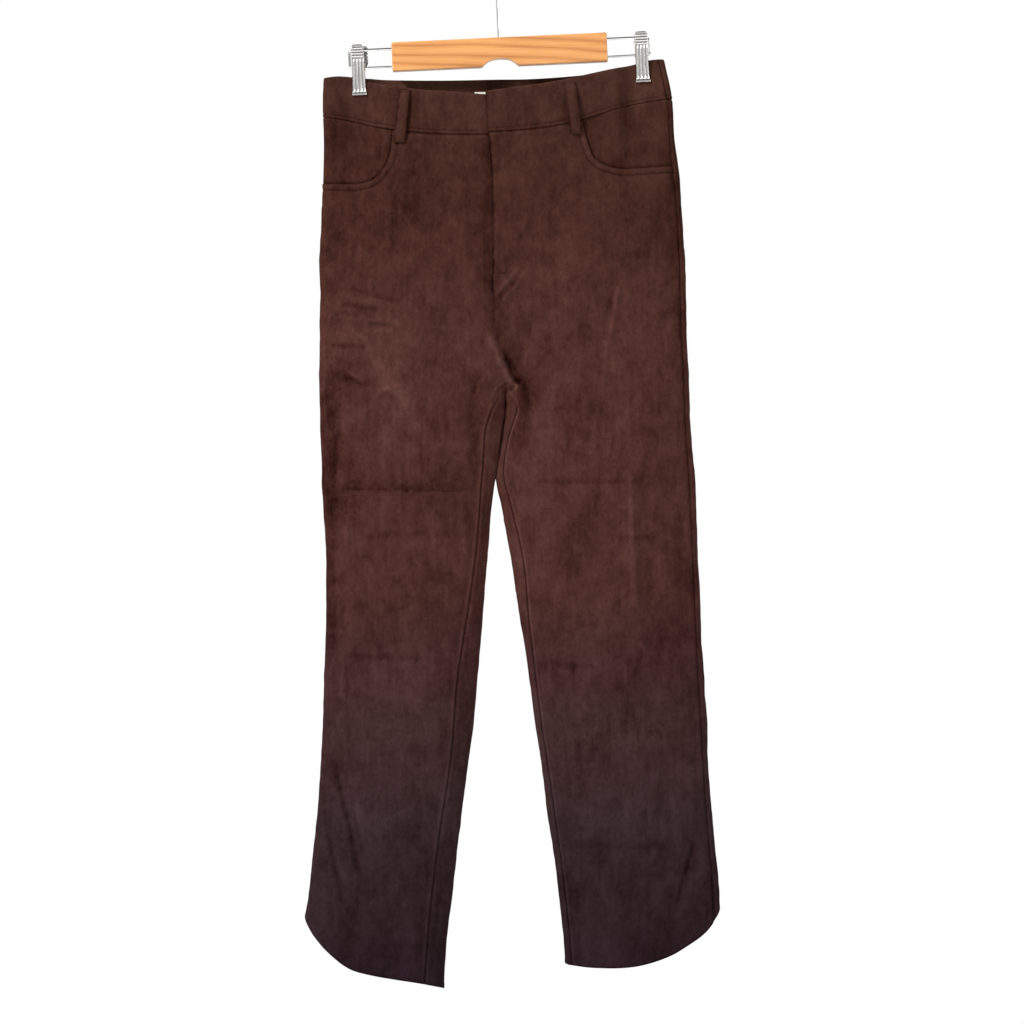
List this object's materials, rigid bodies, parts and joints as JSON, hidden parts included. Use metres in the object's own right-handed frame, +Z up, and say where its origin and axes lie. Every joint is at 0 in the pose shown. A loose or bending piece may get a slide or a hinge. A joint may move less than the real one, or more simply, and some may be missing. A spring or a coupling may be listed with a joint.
{
  "type": "trousers on a clip hanger",
  "caption": "High-waisted slim straight trousers in brown suede with scooped front pockets, belt loops and curved hems, hung flat by spring clips from a wood and wire hanger.",
  "frame": {"origin": "the inner seat of the hanger's hook, where it rests on a rail", "axes": "+Z up, -Y towards the front of the garment, +X to the viewer's right when seen from the front"},
  "size_m": [0.4547, 0.0613, 1.1422],
  "materials": {
    "suede": "matt napped brown suede",
    "tape": "woven zip tape",
    "label_cloth": "plain pale woven label, blank",
    "pine": "satin varnished pine",
    "bright_steel": "bright plated steel"
  },
  "bodies": {
    "root": {"waistband_front_left": "suede", "waistband_front_right": "suede", "waistband_back": "suede", "front_left": "suede", "front_right": "suede", "back_left": "suede", "back_right": "suede", "pocket_left": "suede", "pocket_right": "suede", "fly_shield": "suede", "loop_front_left": "suede", "loop_front_right": "suede", "loop_back_left": "suede", "loop_back_centre": "suede", "loop_back_right": "suede", "zip": "tape", "label": "label_cloth", "hanger_block": "pine", "hook": "bright_steel", "hook_bar": "bright_steel", "wire_left": "bright_steel", "wire_right": "bright_steel", "clip_left": "bright_steel", "clip_right": "bright_steel"}
  },
  "joints": []
}
